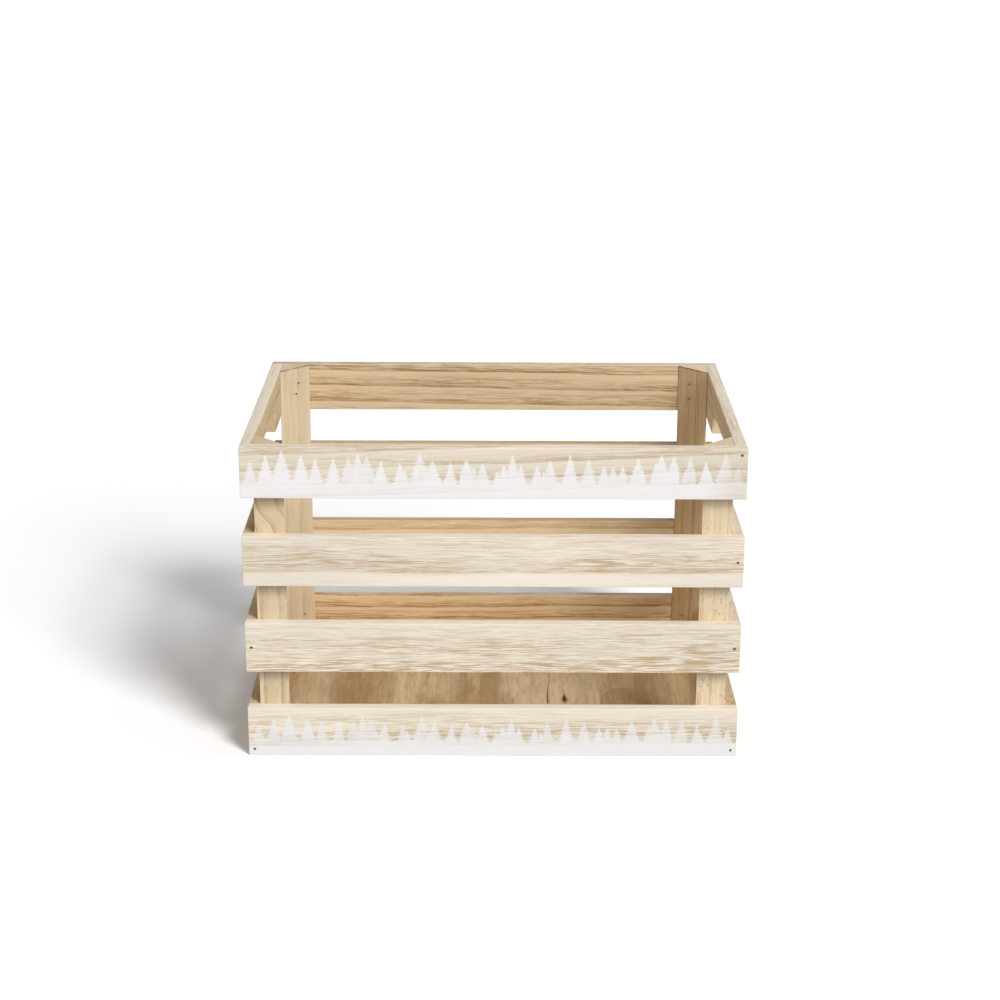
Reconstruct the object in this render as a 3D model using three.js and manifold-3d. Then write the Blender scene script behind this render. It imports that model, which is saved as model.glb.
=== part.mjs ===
// Kindling box: an open slatted crate of pale, light wood with four slats on each side,
// a triangular post in each corner, a thin floor panel and a hand hold in each end.
// Millimetres, +Z up, +X along the width, the front faces -Y.
// The origin is at the centre of the footprint, on the ground.
import * as THREE from "three";
import { mergeVertices } from "three/addons/utils/BufferGeometryUtils.js";
import Module from "manifold-3d";

const wasm = await Module();
wasm.setup();

// Driving dimensions: the box.
const WIDTH = 400; // over the ends of the front and back slats
const DEPTH = 270; // over the outer faces of the front and back slats
const FIT = 0.1; // joint gap between two pieces that are nailed together

// The slats.
const LEVELS = 4;
const SLAT_HEIGHT = 42;
const SLAT_GAP = 32;
const SLAT_THICKNESS = 9.5;
const SLAT_EDGE = 0.7; // chamfer round both faces

// The corner posts: right-angled triangles in plan, the long side faces the inside.
const POST_LEG = 24;
const POST_TIP = 0.8; // blunt width of each sharp edge

// The hand hold: a notch in the lower edge of each top end slat.
const GRIP_WIDTH = 102;
const GRIP_HEIGHT = 21;
const GRIP_RADIUS = 4;

// The floor panel.
const FLOOR_THICKNESS = 5;
const FLOOR_RECESS = 3; // height of its underside above the ground

// Nails: through the long slats into the ends of the end slats, and up through the floor.
const NAIL = { length: 28, shank: 0.75, head: 1.3, headThickness: 0.6, tip: 1.6 };
const NAIL_EDGE = 5.5; // from the top of the top slats and the bottom of the bottom slats
const FLOOR_NAIL_INSET = 8; // from both outer faces of the post

// Brads: through the long side of a post into the long slat beside it.
const BRAD = { length: 20, shank: 0.6, head: 1.0, headThickness: 0.5, tip: 1.2 };
const BRAD_OFFSET = 4; // along the long side of the post, from its middle
const BRAD_RISE = 6; // above the middle of the slat

const HEAD_SINK = 0.4; // heads lie this far below the wood
const HOLE_CLEARANCE = 0.15; // round a nail or brad
const SIDES = 8; // facets round a nail or brad
const CUT_THROUGH = 1; // how far a hole's cutter stands out of the wood
const WELD = 1e-4; // corners closer than this are one
const ARC_STEPS = 5; // facets in each rounded corner

// Worked out from the driving dimensions.
const pitch = SLAT_HEIGHT + SLAT_GAP;
const height = LEVELS * SLAT_HEIGHT + (LEVELS - 1) * SLAT_GAP;
const endSlatLength = DEPTH - 2 * (SLAT_THICKNESS + FIT);
const postCornerX = WIDTH / 2 - SLAT_THICKNESS - FIT;
const postCornerY = DEPTH / 2 - SLAT_THICKNESS - FIT;
const floorTop = FLOOR_RECESS + FLOOR_THICKNESS;
const postBottom = floorTop + FIT;

const paleWood = { color: 0xe6d3b0, roughness: 0.75, metalness: 0 };
const goldenWood = { color: 0xd8bb8c, roughness: 0.78, metalness: 0 };
const postWood = { color: 0xdcc095, roughness: 0.76, metalness: 0 };
const floorWood = { color: 0xb5915f, roughness: 0.8, metalness: 0 };
const steel = { color: 0x6e675f, roughness: 0.45, metalness: 0.9 };

function makeMesh(name, geometry, finish) {
  const mesh = new THREE.Mesh(geometry, new THREE.MeshStandardMaterial(finish));
  mesh.name = name;
  return mesh;
}

// A closed three.js geometry as a solid that can be cut.
function toSolid(geometry) {
  const bare = geometry.clone();
  bare.deleteAttribute("normal");
  bare.deleteAttribute("uv");
  const merged = mergeVertices(bare, WELD);
  return new wasm.Manifold(
    new wasm.Mesh({
      numProp: 3,
      vertProperties: merged.attributes.position.array,
      triVerts: new Uint32Array(merged.index.array),
    }),
  );
}

function toGeometry(solid) {
  const found = solid.getMesh();
  const geometry = new THREE.BufferGeometry();
  geometry.setAttribute("position", new THREE.BufferAttribute(found.vertProperties, 3));
  geometry.setIndex(new THREE.BufferAttribute(found.triVerts, 1));
  geometry.computeVertexNormals();
  return geometry;
}

// Cuts each hole out of a placed mesh. A hole is a geometry with the matrix that places it.
function cutHoles(mesh, holes) {
  mesh.updateWorldMatrix(true, false);
  const toLocal = mesh.matrixWorld.clone().invert();
  let solid = toSolid(mesh.geometry);
  for (const hole of holes) {
    const cutter = hole.geometry.clone();
    cutter.applyMatrix4(new THREE.Matrix4().multiplyMatrices(toLocal, hole.matrix));
    solid = solid.subtract(toSolid(cutter));
  }
  mesh.geometry = toGeometry(solid);
}

// Height of the middle of a slat; level 1 is the top one.
function levelMiddle(level) {
  return height - SLAT_HEIGHT / 2 - (level - 1) * pitch;
}

// The outline of a slat's face, with the hand hold in its lower edge where it has one.
function slatOutline(length, hasGrip) {
  const halfLength = length / 2;
  const halfHeight = SLAT_HEIGHT / 2;
  const outline = new THREE.Shape();
  outline.moveTo(-halfLength, -halfHeight);
  if (hasGrip) {
    const halfGrip = GRIP_WIDTH / 2;
    const gripTop = GRIP_HEIGHT - halfHeight;
    outline.lineTo(-halfGrip, -halfHeight);
    outline.lineTo(-halfGrip, gripTop - GRIP_RADIUS);
    outline.absarc(
      -halfGrip + GRIP_RADIUS, gripTop - GRIP_RADIUS, GRIP_RADIUS, Math.PI, Math.PI / 2, true,
    );
    outline.lineTo(halfGrip - GRIP_RADIUS, gripTop);
    outline.absarc(
      halfGrip - GRIP_RADIUS, gripTop - GRIP_RADIUS, GRIP_RADIUS, Math.PI / 2, 0, true,
    );
    outline.lineTo(halfGrip, -halfHeight);
  }
  outline.lineTo(halfLength, -halfHeight);
  outline.lineTo(halfLength, halfHeight);
  outline.lineTo(-halfLength, halfHeight);
  outline.closePath();
  return outline;
}

// A slat lies along X with its height along Y and its thickness centred on Z.
function slatGeometry(length, hasGrip) {
  const geometry = new THREE.ExtrudeGeometry(slatOutline(length, hasGrip), {
    depth: SLAT_THICKNESS - 2 * SLAT_EDGE,
    bevelEnabled: true,
    bevelThickness: SLAT_EDGE,
    bevelSize: SLAT_EDGE,
    bevelOffset: -SLAT_EDGE,
    bevelSegments: 1,
    curveSegments: ARC_STEPS,
  });
  return geometry.translate(0, 0, -SLAT_THICKNESS / 2 + SLAT_EDGE);
}

// One side of the box: a turned group that holds its slats, level by level.
function makeWall(side, turn, slatLength, distance, finish, gripLevel) {
  const wall = new THREE.Group();
  wall.rotation.z = turn;
  for (let level = 1; level <= LEVELS; level += 1) {
    const slat = makeMesh(
      `${side}_slat_${level}`, slatGeometry(slatLength, level === gripLevel), finish,
    );
    slat.rotation.x = Math.PI / 2;
    slat.position.set(0, SLAT_THICKNESS / 2 - distance, levelMiddle(level));
    wall.add(slat);
  }
  return wall;
}

// A post stands with its right angle at its group's origin and its legs along +X and +Y.
function postGeometry() {
  const outline = new THREE.Shape();
  outline.moveTo(0, 0);
  outline.lineTo(POST_LEG, 0);
  outline.lineTo(POST_LEG, POST_TIP);
  outline.lineTo(POST_TIP, POST_LEG);
  outline.lineTo(0, POST_LEG);
  outline.closePath();
  return new THREE.ExtrudeGeometry(outline, { depth: height - postBottom, bevelEnabled: false });
}

// A nail or brad points along -Y with the top of its head at the origin.
function fastenerGeometry(size) {
  const profile = [
    new THREE.Vector2(0, -size.length),
    new THREE.Vector2(size.shank, -size.length + size.tip),
    new THREE.Vector2(size.shank, -size.headThickness),
    new THREE.Vector2(size.head, -size.headThickness),
    new THREE.Vector2(size.head, 0),
    new THREE.Vector2(0, 0),
  ];
  return new THREE.LatheGeometry(profile, SIDES);
}

// The hole for a nail or brad, from its point to past the face that it was driven into.
function holeGeometry(size) {
  const shank = size.shank + HOLE_CLEARANCE;
  const head = size.head + HOLE_CLEARANCE;
  const bottom = -size.length - HOLE_CLEARANCE;
  const step = -size.headThickness - HOLE_CLEARANCE;
  const mouth = HEAD_SINK + CUT_THROUGH;
  const profile = [
    new THREE.Vector2(0, bottom),
    new THREE.Vector2(shank, bottom),
    new THREE.Vector2(shank, step),
    new THREE.Vector2(head, step),
    new THREE.Vector2(head, mouth),
    new THREE.Vector2(0, mouth),
  ];
  return new THREE.LatheGeometry(profile, SIDES);
}

const box = new THREE.Group();
const holesByPiece = new Map();

function piece(name) {
  return box.getObjectByName(name);
}

// Drives a nail or brad into the wood at a point on its face, and notes the pieces it enters.
function drive(name, size, point, direction, entered) {
  const fastener = makeMesh(name, fastenerGeometry(size), steel);
  fastener.quaternion.setFromUnitVectors(new THREE.Vector3(0, -1, 0), direction);
  fastener.position.copy(point).addScaledVector(direction, HEAD_SINK);
  fastener.updateMatrix();
  box.add(fastener);
  const hole = { geometry: holeGeometry(size), matrix: fastener.matrix };
  for (const entry of entered) {
    holesByPiece.set(entry, [...(holesByPiece.get(entry) ?? []), hole]);
  }
}

// The four walls. The end slats butt between the front and back slats.
const halfTurn = Math.PI;
const quarterTurn = Math.PI / 2;
box.add(makeWall("front", 0, WIDTH, DEPTH / 2, paleWood, 0));
box.add(makeWall("back", halfTurn, WIDTH, DEPTH / 2, goldenWood, 0));
box.add(makeWall("right", quarterTurn, endSlatLength, WIDTH / 2, goldenWood, 1));
box.add(makeWall("left", -quarterTurn, endSlatLength, WIDTH / 2, goldenWood, 1));

// The floor panel fits inside the bottom slats.
const floorPanel = makeMesh(
  "floor_panel", new THREE.BoxGeometry(2 * postCornerX, 2 * postCornerY, FLOOR_THICKNESS), floorWood,
);
floorPanel.position.z = FLOOR_RECESS + FLOOR_THICKNESS / 2;
box.add(floorPanel);

// The corners: sx and sy say which side each one is on.
const corners = [
  { ends: "left", long: "front", sx: -1, sy: -1, turn: 0 },
  { ends: "right", long: "front", sx: 1, sy: -1, turn: quarterTurn },
  { ends: "right", long: "back", sx: 1, sy: 1, turn: halfTurn },
  { ends: "left", long: "back", sx: -1, sy: 1, turn: -quarterTurn },
];

for (const { ends, long, sx, sy, turn } of corners) {
  const corner = `${long}_${ends}`;
  const post = makeMesh(`post_${corner}`, postGeometry(), postWood);
  post.position.set(sx * postCornerX, sy * postCornerY, postBottom);
  post.rotation.z = turn;
  box.add(post);

  const intoEnd = new THREE.Vector3(0, -sy, 0);
  const intoCorner = new THREE.Vector3(sx, sy, 0).normalize();
  for (let level = 1; level <= LEVELS; level += 1) {
    const middle = levelMiddle(level);
    const longSlat = `${long}_slat_${level}`;
    let nailZ = middle;
    if (level === 1) nailZ = height - NAIL_EDGE;
    if (level === LEVELS) nailZ = NAIL_EDGE;
    const nailPoint = new THREE.Vector3(
      sx * (WIDTH / 2 - SLAT_THICKNESS / 2), (sy * DEPTH) / 2, nailZ,
    );
    drive(`nail_${corner}_${level}`, NAIL, nailPoint, intoEnd, [longSlat, `${ends}_slat_${level}`]);

    // On the long side of the post, the distances from its two legs add up to twice reach.
    const slide = BRAD_OFFSET / Math.SQRT2;
    const reach = (POST_LEG + POST_TIP) / 2;
    const bradPoint = new THREE.Vector3(
      sx * (postCornerX - reach - slide), sy * (postCornerY - reach + slide), middle + BRAD_RISE,
    );
    drive(`brad_${corner}_${level}`, BRAD, bradPoint, intoCorner, [`post_${corner}`, longSlat]);
  }

  const floorPoint = new THREE.Vector3(
    sx * (postCornerX - FLOOR_NAIL_INSET), sy * (postCornerY - FLOOR_NAIL_INSET), FLOOR_RECESS,
  );
  const up = new THREE.Vector3(0, 0, 1);
  drive(`floor_nail_${corner}`, NAIL, floorPoint, up, ["floor_panel", `post_${corner}`]);
}

for (const [name, holes] of holesByPiece) cutHoles(piece(name), holes);

export default box;
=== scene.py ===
import math
import random
from collections import Counter
from typing import NamedTuple

import bmesh
import bpy
import numpy as np
from bpy.props import FloatProperty, FloatVectorProperty, IntProperty, PointerProperty
from mathutils import Matrix, Vector, noise


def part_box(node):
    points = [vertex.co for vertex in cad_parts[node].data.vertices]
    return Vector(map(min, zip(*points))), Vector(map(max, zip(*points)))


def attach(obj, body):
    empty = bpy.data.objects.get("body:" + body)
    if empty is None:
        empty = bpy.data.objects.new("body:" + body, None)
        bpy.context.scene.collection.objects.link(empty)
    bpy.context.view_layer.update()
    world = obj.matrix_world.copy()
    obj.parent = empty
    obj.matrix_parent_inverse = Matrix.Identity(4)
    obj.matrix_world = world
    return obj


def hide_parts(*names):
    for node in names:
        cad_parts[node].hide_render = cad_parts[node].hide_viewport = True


bl_info = {
    "name": "Kindling Box",
    "version": (1, 0, 0),
    "blender": (4, 5, 0),
    "location": "3D Viewport > Sidebar > Kindling Box",
    "description": "Dresses a nailed, slatted kindling box in pale planed wood with a painted treeline",
    "category": "Add Mesh",
}

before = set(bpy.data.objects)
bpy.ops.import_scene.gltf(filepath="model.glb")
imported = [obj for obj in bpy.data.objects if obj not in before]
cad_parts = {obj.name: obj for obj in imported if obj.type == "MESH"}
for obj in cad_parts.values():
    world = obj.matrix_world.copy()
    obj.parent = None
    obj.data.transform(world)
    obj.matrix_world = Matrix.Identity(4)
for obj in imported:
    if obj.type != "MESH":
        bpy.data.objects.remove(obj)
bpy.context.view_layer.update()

MM = 0.001
LEVELS = (1, 2, 3, 4)
CORNERS = [("front", "left"), ("front", "right"), ("back", "left"), ("back", "right")]
TOWARDS = {"left": -1, "right": 1, "front": -1, "back": 1}
X, Y, Z = 0, 1, 2


# ---------------------------------------------------------------- what a user would change


def millimetres(name, description, default, low, high):
    """A length in the scene's own unit, whose default and limits are given in millimetres."""
    return FloatProperty(
        name=name, description=description, default=default * MM, min=low * MM, max=high * MM,
        precision=5, unit="LENGTH")


def angle(name, description, default):
    return FloatProperty(name=name, description=description, default=default, subtype="ANGLE")


def strength(name, description, default):
    return FloatProperty(name=name, description=description, default=default, min=0)


def colour(name, description, default):
    return FloatVectorProperty(
        name=name, description=description, default=default, subtype="COLOR", size=3, min=0.0, max=1.0)


class KindlingSizes(bpy.types.PropertyGroup):
    """Sizes that the dressed pieces add to the frame's own."""

    edge_round: millimetres("Edge rounding", "Radius that sanding has left on a slat's edges", 0.45, 0.1, 3)
    post_round: millimetres("Post edge rounding", "Radius on the edges of the corner posts", 0.35, 0.05, 2)
    panel_round: millimetres("Panel edge rounding", "Radius on the edges of the floor panel", 0.3, 0.05, 2)
    post_tip: millimetres("Post tip", "Width of the flat at each sharp corner of a post", 0.8, 0, 3)
    hand_hold_width: millimetres("Hand hold width", "Length of the notch in each top end slat", 102, 60, 160)
    hand_hold_height: millimetres("Hand hold height", "Depth of the notch in each top end slat", 21, 10, 30)
    hand_hold_round: millimetres("Hand hold corners", "Radius in a hand hold's upper corners", 4, 1, 10)
    bow: millimetres("Bow", "How far a slat's middle bends out of true", 0.25, 0, 1)
    chip: millimetres("Chip depth", "Depth of the small chips along the slats' edges", 0.55, 0, 2)
    hole_gap: millimetres(
        "Nail hole gap", "Gap between a nail's head and the crushed wood round it", 0.12, 0.02, 0.6)
    nail_shank: millimetres("Nail shank", "Radius of a nail's shank", 0.75, 0.3, 2)
    nail_head: millimetres("Nail head", "Radius of a nail's head", 1.0, 0.5, 4)
    brad_shank: millimetres("Brad shank", "Radius of a brad's shank", 0.6, 0.3, 2)
    brad_head: millimetres("Brad head", "Radius of a brad's head", 0.85, 0.5, 4)
    brad_step_left: millimetres(
        "Second brad, left", "How far a left post's second brad sits below the first", 9.5, 4, 20)
    brad_step_right: millimetres(
        "Second brad, right", "How far a right post's second brad sits below the first", 13.4, 4, 20)
    brad_aside_left: millimetres(
        "Brad aside, left", "How far a left post's second brad sits towards the end slat", 3.1, 0, 8)
    brad_aside_right: millimetres(
        "Brad aside, right", "How far a right post's second brad sits towards the end slat", 0.3, 0, 8)


class KindlingWood(bpy.types.PropertyGroup):
    """Colours of the bare wood, as linear values."""

    front_pale: colour("Front wood", "Smooth wood of the four front slats", (0.85, 0.775, 0.655))
    front_tan: colour("Front growth lines", "Growth lines and pores of the front slats", (0.555, 0.41, 0.25))
    wall_pale: colour("Wall wood", "Smooth wood of the back and end slats", (0.72, 0.57, 0.375))
    wall_tan: colour("Wall growth lines", "Growth lines of the back and end slats", (0.37, 0.215, 0.085))
    back_edge: colour("Back edge", "Upper and lower edges of the back slats", (0.62, 0.545, 0.44))
    end_edge: colour("End edge", "Upper and lower edges of the end slats", (0.78, 0.71, 0.60))
    post_pale: colour("Post wood", "Smooth wood of the corner posts", (0.68, 0.565, 0.395))
    post_tan: colour("Post growth lines", "Growth lines of the corner posts", (0.44, 0.29, 0.145))
    floor_pale: colour("Floor wood", "Smooth wood of the floor panel", (0.93, 0.755, 0.49))
    floor_tan: colour("Floor growth lines", "Growth lines and mottling of the panel", (0.45, 0.265, 0.105))
    knot: colour("Knot", "Heart of a knot, and dark flecks", (0.085, 0.034, 0.013))
    # A dark line round each post's upper end, just under its top arris.
    top_line: colour("Saw burn", "Line that the saw left round a post's upper end", (0.16, 0.085, 0.035))
    crack: colour("Crack", "Inside of the crack in the floor panel", (0.24, 0.11, 0.05))
    worn: colour("Worn edge", "Fibres laid open along a sanded edge", (0.88, 0.79, 0.65))


class KindlingPaint(bpy.types.PropertyGroup):
    """The white treeline on the top and bottom front slats."""

    white: colour("Paint", "Chalky white of the treeline", (0.88, 0.865, 0.865))
    white_low: colour(
        "Low paint", "White of the bottom slat's treeline, which is rubbed", (0.82, 0.80, 0.795))
    ground: millimetres("Ground line", "Height of the solid band that the trees stand on", 12, 0, 30)
    tallest: millimetres(
        "Tallest tree", "Height of the top slat's tallest trees above its lower edge", 38.5, 10, 42)
    tallest_low: millimetres(
        "Tallest low tree", "Height of the bottom slat's tallest trees above its lower edge", 35.5, 10, 42)
    rubbed_from: millimetres(
        "Rubbed from", "How far right of its middle the top slat's paint starts to be rubbed", 162, 0, 200)


class KindlingSteel(bpy.types.PropertyGroup):
    """The nails and brads."""

    bright: colour("Steel", "Wire of the nails and brads", (0.20, 0.175, 0.155))
    dark: colour("Tarnish", "Tarnish on the nail heads", (0.035, 0.026, 0.02))


class KindlingStage(bpy.types.PropertyGroup):
    """Floor, lamps and camera."""

    lens: FloatProperty(
        name="Lens", description="Focal length on a 36 mm wide sensor",
        default=76.56, min=20, max=200, subtype="DISTANCE_CAMERA")
    camera_place: FloatVectorProperty(
        name="Camera place", description="Where the camera stands",
        default=(0.0015, -1.731, 0.7432), size=3, subtype="TRANSLATION", unit="LENGTH")
    camera_pitch: angle("Camera pitch", "How far the camera looks down", math.radians(18.11))
    camera_yaw: angle("Camera yaw", "How far the camera turns to the left", -0.00235)
    camera_roll: angle("Camera roll", "Turn of the camera about its own line of sight", 0.004)
    key_power: strength("Key lamp", "Strength of the soft lamp from the front right", 1.92)
    key_softness: angle("Softness", "Angle that each lamp fills in the sky", math.radians(18))
    key_height: angle("Key height", "Height of the key lamp above the floor", math.radians(44))
    key_side: angle("Side", "Turn of both lamps from straight in front towards the right", math.radians(36))
    low_power: strength("Low lamp", "Strength of the lamp under the key lamp", 0.93)
    low_height: angle("Low lamp height", "Height of the low lamp above the floor", math.radians(28))
    sky_power: strength("Sky", "Strength of the even light from all round", 0.38)
    floor_grey: strength("Floor grey", "Share of the light that the floor throws back at the box", 0.55)
    floor_white: strength(
        "Floor white", "Brightness of the floor that the camera sees, which keeps the shadow", 1.09)
    floor_size: FloatProperty(
        name="Floor size", description="Half the width of the floor", default=30.0, min=1, unit="LENGTH")


class KindlingBox(bpy.types.PropertyGroup):
    """Everything that the panel shows."""

    sizes: PointerProperty(type=KindlingSizes)
    wood: PointerProperty(type=KindlingWood)
    paint: PointerProperty(type=KindlingPaint)
    steel: PointerProperty(type=KindlingSteel)
    stage: PointerProperty(type=KindlingStage)
    seed: IntProperty(name="Seed", description="Draws other grain, chips and bends", default=7, min=0)


# ---------------------------------------------------------------- meshes


def plate(name, cells, levels, axes):
    """A closed mesh of flat cells, drawn in the first two axes and stacked along the third."""
    points = {}

    def index_of(point):
        return points.setdefault((round(point[0], 7), round(point[1], 7)), len(points))

    loops = [[index_of(point) for point in cell] for cell in cells]
    sides = [(a, b) for loop in loops for a, b in zip(loop, loop[1:] + loop[:1])]
    uses = Counter(frozenset(side) for side in sides)
    rim = [side for side in sides if uses[frozenset(side)] == 1]
    on_rim = {index for side in rim for index in side}

    bm = bmesh.new()
    layers = []
    for level in levels:
        capped = level in (levels[0], levels[-1])
        layer = {}
        for (a, b), index in points.items():
            if capped or index in on_rim:
                place = [0.0, 0.0, 0.0]
                place[axes[0]], place[axes[1]], place[axes[2]] = a, b, level
                layer[index] = bm.verts.new(place)
        layers.append(layer)
    for loop in loops:
        bm.faces.new([layers[-1][i] for i in loop])
        bm.faces.new([layers[0][i] for i in reversed(loop)])
    for below, above in zip(layers, layers[1:]):
        for a, b in rim:
            bm.faces.new([below[a], below[b], above[b], above[a]])
    bmesh.ops.recalc_face_normals(bm, faces=bm.faces)
    return mesh_object(name, bm)


def new_object(name, data):
    """An object in the scene that holds the given mesh, lamp or camera."""
    made = bpy.data.objects.new(name, data)
    bpy.context.scene.collection.objects.link(made)
    return made


def mesh_object(name, bm):
    mesh = bpy.data.meshes.new(name)
    bm.to_mesh(mesh)
    bm.free()
    return new_object(name, mesh)


def spread(start, end, step):
    """Even stations from start to end, about a step apart."""
    return list(np.linspace(start, end, max(2, round(abs(end - start) / step) + 1)))


def grid_cells(stations, lower, upper, rows):
    """Cells in columns between two outlines that are given at each station."""
    heights = [np.linspace(a, b, rows + 1) for a, b in zip(lower, upper)]
    return [
        [(stations[i], heights[i][j]), (stations[i + 1], heights[i + 1][j]),
         (stations[i + 1], heights[i + 1][j + 1]), (stations[i], heights[i][j + 1])]
        for i in range(len(stations) - 1) for j in range(rows)
    ]


# Length of a cell along a board, rows of cells up a slat, and steps round a hand hold's corner.
STATION = 5 * MM
SLAT_ROWS, ROWS_OVER_NOTCH, ROWS_BESIDE_NOTCH = 9, 6, 4
CORNER_STEPS = 6


def notched_cells(start, end, bottom, top, notch_from, notch_to, notch_top, radius):
    """Cells of a slat with a notch in its lower edge, whose upper corners are round."""
    shoulder = notch_top - radius
    turns = [math.pi / 2 * i / CORNER_STEPS for i in range(CORNER_STEPS + 1)]
    before = spread(start, notch_from, STATION)
    after = spread(notch_to, end, STATION)
    rising = [(notch_from + radius * (1 - math.cos(t)), shoulder + radius * math.sin(t)) for t in turns]
    falling = [(notch_from + notch_to - u, v) for u, v in reversed(rising)]
    roof = [(u, notch_top) for u in spread(rising[-1][0], falling[0][0], STATION)[1:-1]]
    outline = [(u, shoulder) for u in before[:-1]] + rising + roof + falling
    outline += [(u, shoulder) for u in after[1:]]
    stations, lower = zip(*outline)
    cells = grid_cells(stations, lower, [top] * len(outline), ROWS_OVER_NOTCH)
    for part in (before, after):
        cells += grid_cells(part, [bottom] * len(part), [shoulder] * len(part), ROWS_BESIDE_NOTCH)
    return cells


def lathe(name, profile, head, direction, sides):
    """A turned piece: the profile holds (radius, depth) pairs from the head's middle to the tip."""
    bm = bmesh.new()
    along = Vector(direction).normalized()
    turn = Vector((0, 0, 1)).rotation_difference(along).to_matrix()
    rings = []
    for radius, depth in profile:
        count = 1 if radius == 0 else sides
        ring = [
            bm.verts.new(Vector(head) + turn @ Vector((
                radius * math.cos(math.tau * i / sides), radius * math.sin(math.tau * i / sides), depth)))
            for i in range(count)
        ]
        rings.append(ring)
    for a, b in zip(rings, rings[1:]):
        for i in range(sides):
            corners = [a[i % len(a)], a[(i + 1) % len(a)], b[(i + 1) % len(b)], b[i % len(b)]]
            bm.faces.new(list(dict.fromkeys(corners)))
    bmesh.ops.recalc_face_normals(bm, faces=bm.faces)
    return mesh_object(name, bm)


def apply_modifiers(piece):
    """Turns what the modifiers show into the piece's own mesh."""
    graph = bpy.context.evaluated_depsgraph_get()
    graph.update()
    made = bpy.data.meshes.new_from_object(piece.evaluated_get(graph))
    old = piece.data
    piece.modifiers.clear()
    piece.data = made
    bpy.data.meshes.remove(old)
    made.name = piece.name


def round_edges(piece, radius, segments):
    bevel = piece.modifiers.new("sanded edges", "BEVEL")
    bevel.width = radius
    bevel.segments = segments
    bevel.limit_method = "ANGLE"
    bevel.angle_limit = math.radians(40)
    bevel.use_clamp_overlap = False
    apply_modifiers(piece)


def cut(piece, cutters):
    """Takes the cutters out of the piece and deletes them."""
    if not cutters:
        return
    joined = bmesh.new()
    for cutter in cutters:
        joined.from_mesh(cutter.data)
    tool = mesh_object("cutter", joined)
    boolean = piece.modifiers.new("holes", "BOOLEAN")
    boolean.operation = "DIFFERENCE"
    boolean.solver = "EXACT"
    boolean.use_self = True
    boolean.object = tool
    apply_modifiers(piece)
    for old in [*cutters, tool]:
        mesh = old.data
        bpy.data.objects.remove(old)
        bpy.data.meshes.remove(mesh)


def smooth_by_angle(piece, degrees):
    piece.data.shade_smooth()
    piece.data.set_sharp_from_angle(angle=math.radians(degrees))
    weighted = piece.modifiers.new("flat faces stay flat", "WEIGHTED_NORMAL")
    weighted.keep_sharp = True
    weighted.weight = 80


def positions(mesh):
    flat = np.zeros(len(mesh.vertices) * 3, np.float32)
    mesh.vertices.foreach_get("co", flat)
    return flat.reshape(-1, 3).astype(float)


def set_positions(mesh, points):
    mesh.vertices.foreach_set("co", points.astype(np.float32).ravel())
    mesh.update()


def note(mesh, name, values):
    """Keeps a number or a vector for each vertex, which the materials read by name."""
    values = np.asarray(values, np.float32)
    if values.ndim == 2:
        attribute = mesh.attributes.new(name, "FLOAT_VECTOR", "POINT")
        attribute.data.foreach_set("vector", values.ravel())
    else:
        attribute = mesh.attributes.new(name, "FLOAT", "POINT")
        attribute.data.foreach_set("value", values)


# ---------------------------------------------------------------- how each board was sawn


class Sawn(NamedTuple):
    """How a board lay in its tree, and how its wood looks. Lengths are in millimetres."""

    pith: tuple = (120, 30)  # how far the tree's heart lay from the board's middle, across it and through it
    gap: float = 12  # ring spacing
    slope: float = 0.0  # how the growth lines climb along the board
    wander: float = 3  # how far the lines stray in long waves
    ripple: float = 2.0  # how far they stray in short waves
    lines: float = 0.6  # strength of the growth lines
    streaks: float = 0.6  # strength of the pores
    tone: float = 0.0  # lighter or darker
    warmth: float = 0.0  # redder
    speckle: tuple = (0.1, 0.1)  # dark flecks at the board's start and at its end
    shift: float = 0.0  # moves the rings
    uneven: float = 0.6  # how much the ring spacing varies
    edge: float = 1.0  # upper and lower edges: pale and woolly from the saw, or at 0 dark as a growth line
    kink: tuple = (0, 0, 1)  # where the grain swerves along the board, by how much, and over what length


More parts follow.
